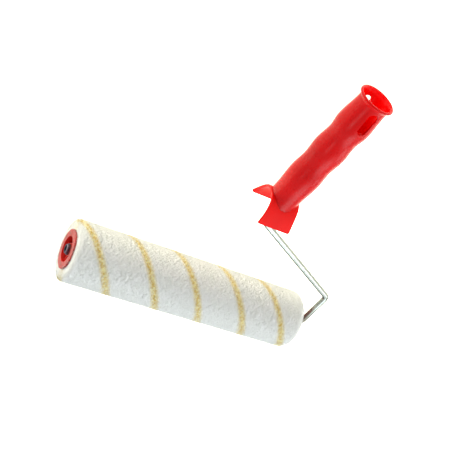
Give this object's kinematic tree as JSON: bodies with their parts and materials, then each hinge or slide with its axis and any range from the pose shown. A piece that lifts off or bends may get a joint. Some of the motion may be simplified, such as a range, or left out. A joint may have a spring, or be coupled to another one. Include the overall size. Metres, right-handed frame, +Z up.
{
  "type": "paint roller",
  "caption": "Paint roller: a striped pile sleeve turns on a bent wire frame with a wavy hollow grip, a drip guard and a hang hole.",
  "frame": {"origin": "on the ground that the roller lies on, below the middle of its bounding box", "axes": "+X along the sleeve's axis towards the wire's leg, +Y from the sleeve towards the handle's rim, +Z up"},
  "size_m": [0.2664, 0.2986, 0.06],
  "materials": {
    "plated_wire": "bright zinc plating on drawn steel wire",
    "handle_plastic": "satin-gloss moulded polypropylene",
    "guard_plastic": "satin moulded polypropylene",
    "spring_steel": "stamped spring steel",
    "washer_steel": "plain stamped washer",
    "core_plastic": "extruded tube",
    "pile": "woven pile with two ochre yarn bands",
    "cap_plastic": "satin moulded polypropylene"
  },
  "bodies": {
    "frame": {"wire_frame": "plated_wire", "handle": "handle_plastic", "drip_guard": "guard_plastic", "push_nut": "spring_steel", "thrust_washer_outer": "washer_steel", "thrust_washer_inner": "washer_steel"},
    "roller": {"core_tube": "core_plastic", "pile_cover": "pile", "outer_end_cap": "cap_plastic", "inner_end_cap": "cap_plastic"}
  },
  "joints": [
    {"name": "roller_spin", "type": "hinge", "parent": "frame", "child": "roller", "pos_m": [-0.00707, -0.1193, 0.03], "axis": [1, 0, 0], "continuous": true}
  ]
}
